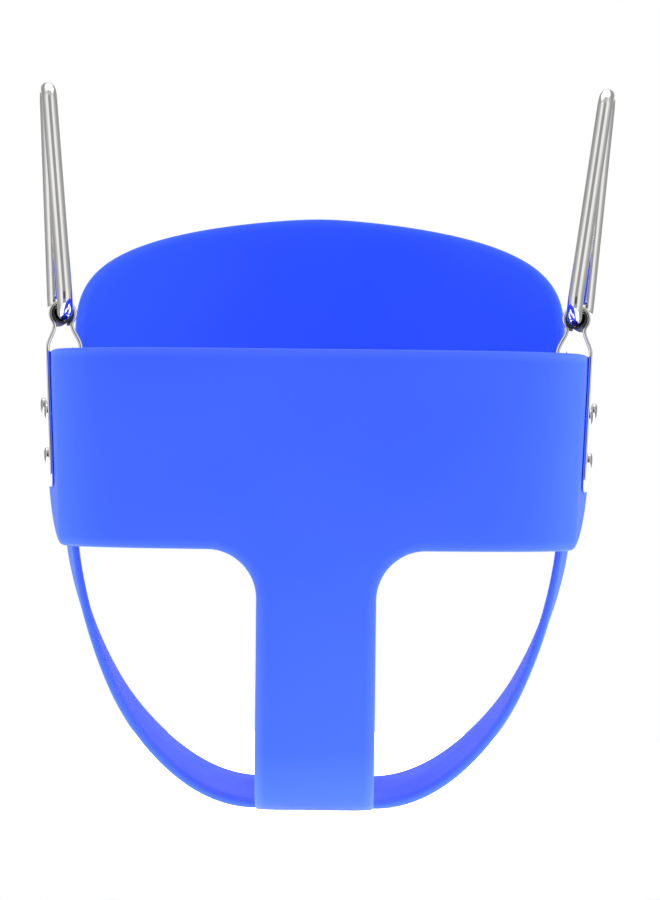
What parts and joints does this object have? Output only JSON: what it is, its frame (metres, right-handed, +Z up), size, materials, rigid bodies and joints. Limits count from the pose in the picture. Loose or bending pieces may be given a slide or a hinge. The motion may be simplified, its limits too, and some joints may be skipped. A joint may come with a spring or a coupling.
{
  "type": "toddler bucket swing",
  "caption": "Full bucket swing seat for a toddler: wide front band, crotch strap, side wings, high back, folded steel brackets and triangular rod hangers.",
  "frame": {"origin": "middle of the flat underside of the bottom pad, on the seat's plane of symmetry", "axes": "+Z up, -Y towards the front of the seat, +X to the right seen from the front"},
  "size_m": [0.3167, 0.2259, 0.3928],
  "materials": {
    "seat_eva": "smooth moulded EVA with a soft satin sheen",
    "polished_steel": "polished stainless rod and folded sheet",
    "rivet_steel": "plain pressed steel, lightly worn",
    "black_nylon": "plain black nylon"
  },
  "bodies": {
    "root": {"seat_base": "seat_eva", "back_panel": "seat_eva", "left_bracket": "polished_steel", "right_bracket": "polished_steel", "left_bush": "black_nylon", "right_bush": "black_nylon", "left_rivet_upper_front": "rivet_steel", "left_rivet_upper_rear": "rivet_steel", "left_rivet_lower": "rivet_steel", "right_rivet_upper_front": "rivet_steel", "right_rivet_upper_rear": "rivet_steel", "right_rivet_lower": "rivet_steel", "pad_rivet_front_left": "rivet_steel", "pad_rivet_front_right": "rivet_steel", "pad_rivet_rear_left": "rivet_steel", "pad_rivet_rear_right": "rivet_steel", "pad_washer_front_left": "rivet_steel", "pad_washer_front_right": "rivet_steel", "pad_washer_rear_left": "rivet_steel", "pad_washer_rear_right": "rivet_steel"},
    "left_hanger": {"left_hanger": "polished_steel"},
    "right_hanger": {"right_hanger": "polished_steel"}
  },
  "joints": [
    {"name": "left_hanger_swing", "type": "hinge", "parent": "root", "child": "left_hanger", "pos_m": [-0.14227, -0.02007, 0.26534], "axis": [0.1392, -0.9903, 0], "range_deg": [-143, 141]},
    {"name": "right_hanger_swing", "type": "hinge", "parent": "root", "child": "right_hanger", "pos_m": [0.14227, -0.02007, 0.26534], "axis": [0.1392, 0.9903, 0], "range_deg": [-145, 138]}
  ]
}
